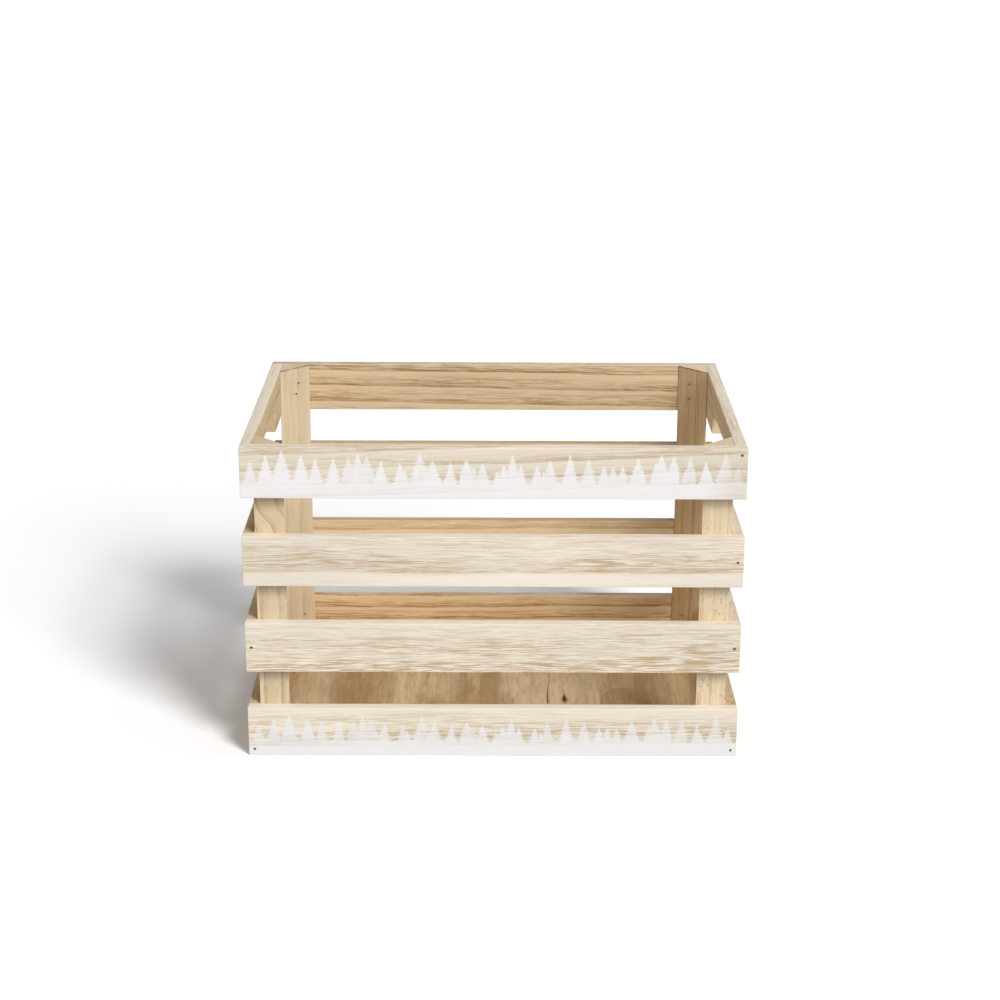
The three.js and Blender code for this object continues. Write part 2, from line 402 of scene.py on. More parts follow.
SAWN = {
    "front_slat_1": Sawn(pith=(150, 20), gap=12.5, slope=0.039, wander=1.3, ripple=0.9, lines=1.1,
                         streaks=0.95, tone=-0.07, warmth=0.12, shift=2.3),
    "front_slat_2": Sawn(pith=(160, 25), gap=45, wander=1.0, ripple=2.4, lines=0.55, streaks=1.25,
                         tone=-0.03, shift=27.2, uneven=0.0),
    "front_slat_3": Sawn(pith=(160, 25), gap=60, slope=0.010, wander=1.6, ripple=2.7, lines=0.0,
                         streaks=1.6, shift=42.3, uneven=0.0),
    "front_slat_4": Sawn(pith=(150, -20), gap=38, slope=0.006, wander=1.4, ripple=2.2, lines=0.45,
                         streaks=1.4, tone=-0.01, shift=11.0, uneven=0.0),
    "back_slat_1": Sawn(gap=13.5, slope=-0.012, wander=2.2, ripple=1.3, lines=0.95, streaks=1.2, tone=-0.04),
    "back_slat_2": Sawn(gap=16, wander=3.5, ripple=1.6, lines=0.75, streaks=1.0, edge=0.35),
    "back_slat_3": Sawn(gap=15, wander=2.6, ripple=1.3, streaks=0.8, tone=0.18, edge=0.2),
    "back_slat_4": Sawn(gap=12, ripple=1.4, lines=1.1, streaks=1.2, tone=0.14, warmth=0.4),
    "left_slat_1": Sawn(pith=(70, 130), gap=9, ripple=1.5, lines=0.75, tone=-0.08),
    "left_slat_2": Sawn(gap=9, lines=0.9, streaks=0.8, tone=-0.18, warmth=0.8, edge=0.6),
    "left_slat_3": Sawn(gap=8, lines=1.2, streaks=1.0, tone=-0.20, warmth=1.0, speckle=(1.4, 0.4), edge=0.6),
    "left_slat_4": Sawn(gap=11, lines=0.9, streaks=0.8, tone=-0.12, warmth=0.8, speckle=(1.2, 0.2), edge=0.6),
    "right_slat_1": Sawn(pith=(90, 110), gap=11, ripple=1.5, lines=0.55, tone=0.12, speckle=(0.8, 0.5)),
    "right_slat_4": Sawn(gap=12, speckle=(1.8, 0.4), edge=0.35),
    "post_front_left": Sawn(gap=14, wander=2.5, lines=1.2, streaks=0.5, warmth=0.30, kink=(66, 15, 24)),
    "post_front_right": Sawn(gap=10, wander=2.0, lines=0.5, streaks=0.5, tone=0.09, warmth=0.2,
                             speckle=(2.2, 0.5)),
    "post_back_left": Sawn(gap=14, wander=2.0, lines=0.35, streaks=0.4, tone=-0.02),
    "post_back_right": Sawn(gap=7, wander=1.2, ripple=1.0, lines=0.8, streaks=0.7, tone=0.16, warmth=0.8),
}


def sawn(name, rng):
    """The board's own entry, or one like its neighbours, drawn at random."""
    drawn = Sawn(
        pith=(rng.uniform(60, 160), rng.uniform(-40, 40)),
        gap=rng.uniform(10, 22),
        slope=rng.uniform(-0.02, 0.02),
        wander=rng.uniform(1.5, 4),
        lines=rng.uniform(0.5, 0.95),
        streaks=rng.uniform(0.4, 0.8),
        tone=rng.uniform(-0.06, 0.08),
        speckle=(rng.uniform(0.1, 0.5), rng.uniform(0.1, 0.5)),
    )
    return SAWN.get(name, drawn)


def seeded(name):
    """A random generator that belongs to one piece."""
    return random.Random(f"{bpy.context.scene.kindling_box.seed} {name}")


# How far from a board's edge its edge and end grain are seen, and from a nail's head the wood is bruised and
# darkened with painted shade.
EDGE_REACH, BRUISE_AND_SHADE_REACH = 0.5 * MM, 3.2 * MM


def note_grain(piece, axes, rng, grain):
    """Writes where each vertex lay in the tree: along the grain, then from the pith, across and through."""
    mesh = piece.data
    points = positions(mesh)
    low, high = points.min(0), points.max(0)
    middle = (low + high) / 2
    along, across, through = (points[:, axis] - middle[axis] for axis in axes)
    start = rng.uniform(0, 50)
    kink_at, kink_by, kink_over = (value * MM for value in grain.kink)
    swerve = kink_by / 2 * (1 + np.tanh(3 * (along - kink_at) / kink_over))
    across = across + grain.pith[0] * MM - grain.slope * along + grain.shift * MM + swerve
    through = through + grain.pith[1] * MM
    note(mesh, "grain_at", np.stack([along + start, across, through], 1))
    count = len(points)
    for name in ("gap", "wander", "ripple"):
        note(mesh, "ring_" + name, np.full(count, getattr(grain, name) * MM))
    for name in ("lines", "streaks", "tone", "warmth", "uneven", "edge"):
        note(mesh, "wood_" + name, np.full(count, getattr(grain, name)))
    share = along / (high - low)[axes[0]] + 0.5
    note(mesh, "wood_speckle", grain.speckle[0] + share * (grain.speckle[1] - grain.speckle[0]))


def note_edges(piece, axes, low, high, notch):
    """Writes how far each vertex is from the nearest edge, and how much of sawn edge or end grain it is."""
    mesh = piece.data
    points = positions(mesh)
    along, height = points[:, axes[0]], points[:, axes[1]]
    faces = [points - low, high - points]
    end = np.minimum(along - low[axes[0]], high[axes[0]] - along)
    rim = np.minimum(height - low[axes[1]], high[axes[1]] - height)
    if notch:
        notch_from, notch_to, notch_top, _ = notch
        beside = np.maximum(np.maximum(notch_from - along, along - notch_to), 0)
        faces.append(np.hypot(beside, np.maximum(height - notch_top, 0))[:, None])
        end = np.where(height < notch_top - EDGE_REACH, np.minimum(end, beside), end)
    note(mesh, "edge_distance", np.sort(np.concatenate(faces, 1), axis=1)[:, 1])
    note(mesh, "end_grain", np.clip(1 - end / EDGE_REACH, 0, 1))
    note(mesh, "sawn_edge", np.clip(1 - rim / EDGE_REACH, 0, 1))


def note_face(piece, axes, low):
    """Writes each vertex's place on the board's face: along it, above its lower edge, and behind the face."""
    points = positions(piece.data)
    along, height, depth = (points[:, axis] for axis in axes)
    note(piece.data, "face_at", np.stack([along, height - low[axes[1]], depth - low[axes[2]]], 1))


def note_nails(piece, heads):
    """Writes how near each vertex is to a nail's head, from 1 at the head to 0 where the bruise and its
    painted shade end.
    """
    points = positions(piece.data)
    nearest = np.full(len(points), np.inf)
    for head in heads:
        nearest = np.minimum(nearest, np.linalg.norm(points - np.array(head), axis=1))
    note(piece.data, "nail_near", np.clip(1 - nearest / BRUISE_AND_SHADE_REACH, 0, 1))


def bend(piece, axes, rng, amount):
    """Bows and twists a board a little, waves its face and edges, and leaves its nailed ends where they are.
    """
    points = positions(piece.data)
    low, high = points.min(0), points.max(0)
    share = (points - low) / (high - low)
    along, across = share[:, axes[0]], share[:, axes[1]] - 0.5
    window = np.sin(math.pi * along) ** 0.8
    bow = rng.uniform(-1, 1) * window
    twist = rng.uniform(-1, 1) * np.sin(math.tau * along) * across
    ripple = 0.25 * np.sin(math.tau * (rng.uniform(2, 4) * along + rng.random())) * window
    points[:, axes[2]] += amount * (0.7 * bow + 0.5 * twist + 0.4 * ripple)
    edge = 0.5 * rng.uniform(-1, 1) * np.sin(math.tau * along) + ripple
    points[:, axes[1]] += 0.6 * amount * edge * window
    set_positions(piece.data, points)


# Chips on a slat, their lengths in mm, and how near a board's end they come.
CHIPS_PER_SLAT = 5
CHIP_LENGTHS = (1.2, 4.0)
CHIP_CLEAR = 12 * MM


def chips(name, low, high, axes, rng, count, depth):
    """Cutters for small chips along a board's four long edges."""
    made = []
    for i in range(count):
        bm = bmesh.new()
        bmesh.ops.create_icosphere(bm, subdivisions=2, radius=1.0)
        size = [0.0, 0.0, 0.0]
        size[axes[0]] = rng.uniform(*CHIP_LENGTHS) * MM
        size[axes[1]] = depth * rng.uniform(0.5, 1.2)
        size[axes[2]] = depth * rng.uniform(0.5, 1.2)
        place = [0.0, 0.0, 0.0]
        place[axes[0]] = rng.uniform(low[axes[0]] + CHIP_CLEAR, high[axes[0]] - CHIP_CLEAR)
        for axis in axes[1:]:
            place[axis] = rng.choice((low[axis], high[axis]))
        for vert in bm.verts:
            rough = 1 + 0.35 * noise.noise(vert.co * 2.1 + Vector((i * 7.3, rng.random(), 0)))
            vert.co = Vector([place[k] + vert.co[k] * size[k] * rough for k in range(3)])
        made.append(mesh_object(f"{name}_chip", bm))
    return made


# ---------------------------------------------------------------- nails and brads


class Fastener(NamedTuple):
    """A nail or brad. Lengths are in metres."""

    name: str
    node: str  # the frame's node that it stands for, or None
    head: np.ndarray  # middle of the head's face
    direction: tuple  # the way that it was driven
    length: float
    shank: float  # radius of the shank
    top: float  # radius of the head
    thickness: float  # of the head
    tip: float  # length of the point
    into: list  # boards that it goes through


NAIL_HEAD_THICKNESS, NAIL_TIP = 0.6 * MM, 1.6 * MM
BRAD_HEAD_THICKNESS, BRAD_TIP = 0.5 * MM, 1.2 * MM
HEAD_DISH = 0.12 * MM
NAIL_SIDES, HOLE_SIDES = 24, 28


def axis_of(node, direction):
    """Head and length of the frame's nail, read from its mesh along the way that it was driven."""
    points = positions(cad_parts[node].data)
    along = np.array(Vector(direction).normalized())
    depth = points @ along
    middle = points.mean(0)
    middle = middle - along * (middle @ along)
    return middle + along * depth.min(), float(depth.max() - depth.min())


def long_nails(sizes):
    """The nails through the front and back slats, and those up through the floor panel."""
    found = []
    for face, side in CORNERS:
        for level in LEVELS:
            node = f"nail_{face}_{side}_{level}"
            into = [f"{face}_slat_{level}", f"{side}_slat_{level}"]
            found.append((node, (0, -TOWARDS[face], 0), into))
        found.append((f"floor_nail_{face}_{side}", (0, 0, 1), ["floor_panel", f"post_{face}_{side}"]))
    made = []
    for node, direction, into in found:
        head, length = axis_of(node, direction)
        made.append(Fastener(node, node, head, direction, length, sizes.nail_shank, sizes.nail_head,
                             NAIL_HEAD_THICKNESS, NAIL_TIP, into))
    return made


def brads(sizes):
    """Two brads through the long side of each post at each level, one below the other."""
    step = {"left": sizes.brad_step_left, "right": sizes.brad_step_right}
    aside = {"left": sizes.brad_aside_left, "right": sizes.brad_aside_right}
    made = []
    for face, side in CORNERS:
        sx, sy = TOWARDS[side], TOWARDS[face]
        direction = (sx, sy, 0)
        towards_end = Vector((sx, -sy, 0)).normalized()
        for level in LEVELS:
            node = f"brad_{face}_{side}_{level}"
            head, length = axis_of(node, direction)
            common = (direction, length, sizes.brad_shank, sizes.brad_head, BRAD_HEAD_THICKNESS, BRAD_TIP,
                      [f"post_{face}_{side}", f"{face}_slat_{level}"])
            lower = head + np.array(towards_end) * aside[side] - np.array([0, 0, step[side]])
            made.append(Fastener(node, node, head, *common))
            made.append(Fastener(f"lower_{node}", None, lower, *common))
    return made


def all_nails():
    sizes = bpy.context.scene.kindling_box.sizes
    return long_nails(sizes) + brads(sizes)


def nail_profile(nail):
    """Half outline of a wire nail: dished head with a soft rim, shank and cut point."""
    rim = 0.12 * nail.thickness
    return [
        (0, HEAD_DISH),
        (0.45 * nail.top, 0.8 * HEAD_DISH),
        (0.8 * nail.top, 0.2 * HEAD_DISH),
        (nail.top - rim, 0.0),
        (nail.top - 0.3 * rim, 0.35 * rim),
        (nail.top, rim),
        (nail.top, 0.6 * nail.thickness),
        (nail.shank * 1.25, nail.thickness),
        (nail.shank, nail.thickness * 1.5),
        (nail.shank, nail.length - nail.tip),
        (0.55 * nail.shank, nail.length - 0.4 * nail.tip),
        (0, nail.length),
    ]


def hole_cutter(nail, gap):
    """A cutter for the hole that a nail sits in, open above its head."""
    above, slack = 2 * MM, 0.1 * MM
    profile = [
        (0, -above),
        (nail.top + gap * 1.3, -above),
        (nail.top + gap, nail.thickness + gap),
        (nail.shank + slack, nail.thickness + 2 * gap),
        (nail.shank + slack, nail.length + slack),
        (0, nail.length + 2 * slack),
    ]
    return lathe("hole", profile, nail.head, nail.direction, HOLE_SIDES)


# These heads were driven deep and the wood has closed over them.
BURIED = ("nail_front_left_1", "nail_front_left_2")


def holes_for(board, nails, gap):
    """Cutters for the board's nail holes, apart from those that have closed over their nails."""
    return [hole_cutter(nail, gap) for nail in nails if board in nail.into and nail.name not in BURIED]


# ---------------------------------------------------------------- shader helpers


class Graph:
    """Adds nodes to a tree from left to right. An input is a number, a colour or another node's socket."""

    # Room that a node takes in the editor, and nodes in a column.
    WIDTH, HEIGHT, COLUMN = 220, 190, 6

    def __init__(self, tree):
        self.tree = tree
        self.count = 0

    def add(self, kind, inputs=None, **settings):
        node = self.tree.nodes.new(kind)
        node.location = (self.WIDTH * (self.count // self.COLUMN), -self.HEIGHT * (self.count % self.COLUMN))
        self.count += 1
        for key, value in settings.items():
            setattr(node, key, value)
        for key, value in (inputs or {}).items():
            self.feed(node.inputs[key], value)
        return node

    def feed(self, socket, value):
        if isinstance(value, bpy.types.NodeSocket):
            self.tree.links.new(value, socket)
        elif socket.type == "RGBA" and len(value) == 3:
            socket.default_value = (*value, 1.0)
        else:
            socket.default_value = value

    def math(self, operation, a, b=0.0, c=0.0, clamp=False):
        node = self.add("ShaderNodeMath", {0: a, 1: b, 2: c}, operation=operation, use_clamp=clamp)
        return node.outputs[0]

    def plus(self, a, b):
        return self.math("ADD", a, b)

    def minus(self, a, b):
        return self.math("SUBTRACT", a, b)

    def times(self, a, b, clamp=False):
        return self.math("MULTIPLY", a, b, clamp=clamp)

    def over(self, a, b):
        return self.math("DIVIDE", a, b)

    def larger(self, a, b):
        return self.math("MAXIMUM", a, b)

    def stretch(self, vector, scale):
        """The vector with each of its axes times its own scale."""
        return self.add("ShaderNodeVectorMath", {0: vector, 1: scale}, operation="MULTIPLY").outputs[0]

    def lighten(self, shade, light):
        node = self.add("ShaderNodeVectorMath", {0: tuple(shade), "Scale": light}, operation="SCALE")
        return node.outputs[0]

    def split(self, vector):
        return self.add("ShaderNodeSeparateXYZ", {0: vector}).outputs

    def join(self, x, y, z):
        return self.add("ShaderNodeCombineXYZ", {0: x, 1: y, 2: z}).outputs[0]

    def ramp(self, value, start, end, low=0.0, high=1.0, smooth=True):
        """Value, from start to end, as low to high."""
        node = self.add("ShaderNodeMapRange", {"Value": value}, clamp=True)
        node.interpolation_type = "SMOOTHSTEP" if smooth else "LINEAR"
        for key, given in {"From Min": start, "From Max": end, "To Min": low, "To Max": high}.items():
            self.feed(node.inputs[key], given)
        return node.outputs["Result"]

    def noise(self, vector, detail=2.0, roughness=0.5):
        node = self.add("ShaderNodeTexNoise", {"Vector": vector, "Scale": 1.0, "Detail": detail,
                                               "Roughness": roughness})
        return node.outputs["Fac"]

    def random(self, vector):
        return self.add("ShaderNodeTexWhiteNoise", {"Vector": vector}, noise_dimensions="3D").outputs["Value"]

    def mix(self, factor, a, b, blend="MIX"):
        node = self.add("ShaderNodeMix", data_type="RGBA", blend_type=blend, clamp_factor=True)
        self.feed(node.inputs["Factor"], factor)
        self.feed(node.inputs[6], a)
        self.feed(node.inputs[7], b)
        return node.outputs[2]

    def attribute(self, name, output="Fac"):
        return self.add("ShaderNodeAttribute", attribute_name=name).outputs[output]

    def group(self, tree, inputs):
        node = self.add("ShaderNodeGroup", node_tree=tree)
        for key, value in inputs.items():
            self.feed(node.inputs[key], value)
        return node.outputs


def new_group(name, inputs, outputs):
    """A node group with named sockets: inputs are (name, kind, default), outputs (name, kind)."""
    tree = bpy.data.node_groups.new(name, "ShaderNodeTree")
    for label, kind, default in inputs:
        socket = tree.interface.new_socket(label, in_out="INPUT", socket_type=kind)
        if default is not None:
            socket.default_value = default
    for label, kind in outputs:
        tree.interface.new_socket(label, in_out="OUTPUT", socket_type=kind)
    graph = Graph(tree)
    return tree, graph, graph.add("NodeGroupInput").outputs


def close_group(graph, results):
    out = graph.add("NodeGroupOutput")
    for label, value in results.items():
        graph.feed(out.inputs[label], value)


FLOAT, VECTOR = "NodeSocketFloat", "NodeSocketVector"


def group_once(name, build):
    """The group of that name, built the first time it is asked for."""
    return bpy.data.node_groups.get(name) or build(name)


def build_figure(name):
    """Growth rings about the pith, the pores that follow them, broad tone and fine fibre.

    A noise's scale is how many waves fit in a metre along the grain, across it and through the board.
    """
    tree, g, given = new_group(
        name,
        [("Grain At", VECTOR, None), ("Ring Gap", FLOAT, 0.012), ("Wander", FLOAT, 0.003),
         ("Ripple", FLOAT, 0.002), ("Uneven", FLOAT, 0.6)],
        [("Lines", FLOAT), ("Streaks", FLOAT), ("Tone", FLOAT), ("Fibre", FLOAT), ("Speckle", FLOAT)],
    )
    at = given["Grain At"]
    u, v, w = g.split(at)

    def noise_at(scale, detail=1.0, roughness=0.5):
        return g.noise(g.stretch(at, scale), detail, roughness)

    def swing(scale, amount):
        """Soft noise about zero."""
        return g.times(g.minus(noise_at(scale), 0.5), amount)

    # The rings stray slowly along the board, ripple in waves as long as a thumb and in shorter ones, and are
    # ragged.
    ripple = g.plus(swing((17, 30, 30), 1.7), swing((50, 110, 110), 0.6))
    ragged = g.times(swing((260, 560, 560), 1.0), 0.6 * MM)
    slow = g.times(swing((3.2, 14, 14), 4.0), given["Wander"])
    stray = g.plus(slow, g.math("MULTIPLY_ADD", ripple, given["Ripple"], ragged))
    away = g.math("SQRT", g.plus(g.times(v, v), g.times(w, w)))
    ring_distance = g.plus(away, stray)
    uneven = g.noise(g.join(0.0, 0.0, g.times(ring_distance, 55.0)), 0.0)
    uneven = g.times(g.minus(uneven, 0.5), given["Uneven"])
    rings = g.plus(g.over(ring_distance, given["Ring Gap"]), uneven)
    phase = g.math("FRACT", rings)
    per_ring = g.random(g.join(g.math("FLOOR", rings), 3.0, 5.0))
    late = g.minus(1.0, phase)
    decay = g.math("POWER", late, 7.0)
    onset = g.ramp(phase, 0.95, 1.0)
    line = g.larger(decay, onset)
    faded = g.noise(g.join(g.times(u, 9.0), g.times(ring_distance, 140.0), w), 2.0)
    line = g.times(line, g.ramp(faded, 0.30, 0.62, 0.35, 1.0))
    line = g.times(line, g.ramp(per_ring, 0.0, 0.7, 0.45, 1.0))

    def dashes(length, thickness, depth, start, end):
        """Marks that run with the rings. The first three are how many fit in a metre."""
        place = g.join(g.times(u, length), g.times(ring_distance, thickness), g.times(w, depth))
        return g.ramp(g.noise(place, 2.0, 0.55), start, end)

    # Pores: long thin dashes that follow the strayed rings, dense where a ring starts.
    dash = g.larger(dashes(24.0, 900.0, 300.0, 0.50, 0.60),
                    g.times(dashes(50.0, 1500.0, 750.0, 0.49, 0.60), 0.8))
    zones = dashes(7.0, 130.0, 60.0, 0.32, 0.58)
    density = g.times(late, g.ramp(late, 0.12, 0.34))
    density = g.times(density, g.math("MULTIPLY_ADD", zones, 0.75, 0.4))
    streaks = g.times(dash, density, clamp=True)

    tone = noise_at((3.5, 26, 26), 3.0, 0.6)
    fibre = noise_at((45, 1050, 1050), 3.0, 0.65)
    speckle = g.ramp(noise_at((330, 760, 760)), 0.58, 0.68)
    clusters = g.ramp(noise_at((26, 85, 85)), 0.42, 0.60)
    speckle = g.times(speckle, clusters)
    close_group(g, {"Lines": line, "Streaks": streaks, "Tone": tone, "Fibre": fibre, "Speckle": speckle})
    return tree


def build_edge_wear(name):
    """How far sanding and handling have opened the wood along an edge."""
    tree, g, given = new_group(
        name,
        [("Grain At", VECTOR, None), ("Edge Distance", FLOAT, 1.0), ("Reach", FLOAT, 0.001)],
        [("Wear", FLOAT)],
    )
    rough = g.noise(g.stretch(given["Grain At"], (130, 420, 420)), 3.0, 0.6)
    reach = g.times(given["Reach"], g.ramp(rough, 0.3, 0.75, 0.1, 2.2))
    share = g.over(given["Edge Distance"], reach)
    close_group(g, {"Wear": g.ramp(share, 0.25, 1.0, 1.0, 0.0)})
    return tree


# Rows of trees: start along the slat, pitch, lowest and highest share of the tallest tree, half width for
# each metre of height, height of a tier of branches, and the row's own number.
TREE_ROWS = (
    (0.0000, 0.0133, 0.70, 0.93, 0.37, 0.0034, 1.0),
    (0.0071, 0.0187, 0.56, 0.74, 0.38, 0.0029, 2.0),
    (0.0230, 0.0590, 0.95, 1.02, 0.34, 0.0040, 3.0),
)
# Half width of a tree's tip, how ragged its outline is, and how soft the paint's edge is.
TREE_TIP, TREE_RAGGED, PAINT_SOFT = 0.35 * MM, 2.2 * MM, 0.4 * MM
# How ragged the top of the solid band is, how far above it the brush strayed, and over what length the rubbed
# end of the paint fades.
BAND_RAGGED, BRUSHED, RUBBED_OVER = 8 * MM, 6 * MM, 35 * MM


def tree_row(g, along, height, pitch, low, high, slim, tier, salt):
    """One row of conifers: each cell of the pitch holds one tree with its own height, width and place."""
    place = g.over(along, pitch)
    cell = g.math("FLOOR", place)
    local = g.minus(g.minus(place, cell), 0.5)
    tallness, sideways, slimness = (g.random(g.join(cell, salt, draw)) for draw in (0.3, 4.7, 8.9))
    top = g.ramp(tallness, 0.0, 1.0, low, high, smooth=False)
    offset = g.times(g.minus(sideways, 0.5), 0.30)
    aside = g.times(g.math("ABSOLUTE", g.minus(local, offset)), pitch)
    below = g.minus(top, height)
    # Each tier of branches flares out and cuts back in above the next one.
    tiers = g.over(below, g.ramp(slimness, 0, 1, 0.8 * tier, 1.25 * tier, smooth=False))
    flare = g.math("MULTIPLY_ADD", g.math("FRACT", tiers), 0.5, 0.62)
    taper = g.ramp(slimness, 0, 1, 0.8 * slim, 1.2 * slim, smooth=False)
    half = g.plus(g.times(g.times(below, flare), taper), TREE_TIP)
    ragged = g.noise(g.join(g.times(along, 900.0), g.times(height, 900.0), salt), 2.0)
    half = g.plus(half, g.times(g.minus(ragged, 0.5), TREE_RAGGED))
    inside = g.ramp(g.minus(half, aside), -PAINT_SOFT, PAINT_SOFT)
    opacity = g.ramp(g.random(g.join(cell, salt, 2.2)), 0.0, 0.6, 0.78, 1.0)
    return g.times(g.times(inside, opacity), g.ramp(below, 0.0, PAINT_SOFT))


def build_treeline(name):
    """A band of white paint with conifers standing on it, worn through along the wood's pores."""
    tree, g, given = new_group(
        name,
        [("Along", FLOAT, 0.0), ("Height", FLOAT, 0.0), ("Ground", FLOAT, 0.0105), ("Tallest", FLOAT, 0.035),
         ("Pores", FLOAT, 0.0), ("Fade From", FLOAT, 1.0)],
        [("Paint", FLOAT)],
    )
    along, height = given["Along"], given["Height"]
    tallest, ground = given["Tallest"], given["Ground"]
    trees = 0.0
    for start, pitch, low, high, slim, tier, salt in TREE_ROWS:
        row = tree_row(g, g.plus(along, start), height, pitch, g.times(tallest, low), g.times(tallest, high),
                       slim, tier, salt)
        trees = g.larger(trees, row)
    hills = g.noise(g.join(g.times(along, 110.0), 0.0, 0.0), 3.0)
    crest = g.plus(ground, g.times(g.minus(hills, 0.5), BAND_RAGGED))
    band = g.ramp(g.minus(crest, height), -1.5 * PAINT_SOFT, PAINT_SOFT)
    # Just above the band the brush has left some paint between the trees.
    dabs = g.noise(g.join(g.times(along, 260.0), g.times(height, 900.0), 0.0), 2.0)
    brushed = g.times(g.ramp(g.minus(height, crest), 0.0, BRUSHED, 0.75, 0.0), g.ramp(dabs, 0.42, 0.56))
    paint = g.larger(g.larger(trees, band), brushed)
    # Thin paint misses the pores, more so up among the trees than in the band.
    thin = g.ramp(height, ground, tallest, 0.15, 0.42)
    paint = g.times(paint, g.minus(1.0, g.times(given["Pores"], thin)))
    rubbed = g.ramp(along, given["Fade From"], g.plus(given["Fade From"], RUBBED_OVER), 1.0, 0.42)
    close_group(g, {"Paint": g.times(paint, rubbed, clamp=True)})
    return tree


def new_material(name):
    material = bpy.data.materials.new(name)
    material.use_nodes = True
    material.node_tree.nodes.clear()
    return material, Graph(material.node_tree)


# How far from an edge wear reaches, the depth of the relief, and what full warmth multiplies the colour by.
WEAR_REACH = 0.9 * MM
RELIEF = 0.16 * MM
WARM = (1.0, 0.90, 0.76)


def wood_parts(g, pale, tan, wood, tan_share=0.8, streak_share=0.85, edge=None, edge_share=0.0,
               wear_share=0.25):
    """Colour, height and masks of planed wood, from the values that its mesh holds."""
    at = g.attribute("grain_at", "Vector")
    figure = g.group(group_once("Growth Figure", build_figure), {
        "Grain At": at, "Ring Gap": g.attribute("ring_gap"), "Wander": g.attribute("ring_wander"),
        "Ripple": g.attribute("ring_ripple"), "Uneven": g.attribute("wood_uneven")})
    lines = g.times(figure["Lines"], g.attribute("wood_lines"))
    streaks = g.times(figure["Streaks"], g.attribute("wood_streaks"))
    flecks = g.times(g.times(figure["Speckle"], g.attribute("wood_speckle")), 0.4, clamp=True)
    tone = g.plus(g.ramp(figure["Tone"], 0.25, 0.75, -0.10, 0.10, smooth=False), g.attribute("wood_tone"))
    light = g.plus(1.0, g.plus(tone, g.ramp(figure["Fibre"], 0.25, 0.75, -0.07, 0.07, smooth=False)))
    early, late = g.lighten(pale, light), g.lighten(tan, light)
    woolly = g.mix(g.attribute("wood_edge"), tan, edge or pale)
    surface = g.mix(g.times(g.attribute("sawn_edge"), edge_share), early, woolly)
    surface = g.mix(g.times(lines, tan_share), surface, late)
    surface = g.mix(g.times(streaks, streak_share), surface, late)
    surface = g.mix(flecks, surface, g.mix(0.4, late, wood.knot))
    surface = g.mix(g.attribute("wood_warmth"), surface, WARM, "MULTIPLY")
    end_grain = g.attribute("end_grain")
    surface = g.mix(g.times(end_grain, 0.7), surface, g.mix(0.3, early, late))
    wear = g.group(group_once("Edge Wear", build_edge_wear), {
        "Grain At": at, "Edge Distance": g.attribute("edge_distance"), "Reach": WEAR_REACH})["Wear"]
    surface = g.mix(g.times(wear, wear_share), surface, wood.worn)
    # Round each nail the wood turns towards the growth-line colour: partly a bruise, partly painted shade of
    # the hole.
    bruise_and_shade = g.ramp(g.attribute("nail_near"), 0.35, 1.0)
    surface = g.mix(g.times(bruise_and_shade, 0.55), surface, tan)
    height = g.minus(g.times(figure["Fibre"], 0.35), g.times(streaks, 0.6))
    height = g.minus(height, g.times(lines, 0.25))
    rough = g.minus(0.72, g.times(lines, 0.08))
    rough = g.plus(rough, g.times(end_grain, 0.15))
    return {"colour": surface, "height": height, "roughness": rough, "lines": lines, "streaks": streaks,
            "at": at}


def shade_wood(g, parts):
    """The wood's shader: matt, with the pores and fibre as relief."""
    bump = g.add("ShaderNodeBump", {"Strength": 0.55, "Distance": RELIEF, "Height": parts["height"]})
    shader = g.add("ShaderNodeBsdfPrincipled", {
        "Base Color": parts["colour"], "Roughness": parts["roughness"], "Normal": bump.outputs[0],
        "Specular IOR Level": 0.12})
    g.add("ShaderNodeOutputMaterial", {"Surface": shader.outputs[0]})


def bare_wood(name, pale, tan, wood, **shares):
    material, g = new_material(name)
    shade_wood(g, wood_parts(g, pale, tan, wood, **shares))
    return material


def post_wood(name, wood):
    """Bare wood with a dark line round a post's upper end, just under its top arris."""
    material, g = new_material(name)
    parts = wood_parts(g, wood.post_pale, wood.post_tan, wood, wear_share=0.12)
    patchy = g.noise(g.stretch(parts["at"], (90, 90, 90)), 1.0)
    top_line = g.times(g.attribute("saw_burn"), g.ramp(patchy, 0.3, 0.6, 0.25, 0.85))
    parts["colour"] = g.mix(top_line, parts["colour"], wood.top_line)
    shade_wood(g, parts)
    return material


def painted_wood(name, wood, paint, white, tallest, fade_from):
    """Front wood with the white treeline on its outer face only."""
    material, g = new_material(name)
    parts = wood_parts(g, wood.front_pale, wood.front_tan, wood)
    along, height, depth = g.split(g.attribute("face_at", "Vector"))
    pores = g.larger(parts["streaks"], g.times(parts["lines"], 0.8))
    cover = g.group(group_once("Treeline", build_treeline), {
        "Along": along, "Height": height, "Ground": paint.ground, "Tallest": tallest,
        "Pores": pores, "Fade From": fade_from})["Paint"]
    cover = g.times(cover, g.ramp(depth, 0.25 * MM, 0.75 * MM, 1.0, 0.0))
    cloud = g.noise(g.stretch(parts["at"], (60, 160, 160)), 3.0)
    veil = g.times(cover, g.ramp(cloud, 0.3, 0.7, 0.90, 0.985))
    parts["colour"] = g.mix(veil, parts["colour"], white)
    parts["height"] = g.plus(parts["height"], g.times(cover, 0.5))
    shade_wood(g, parts)
    return material


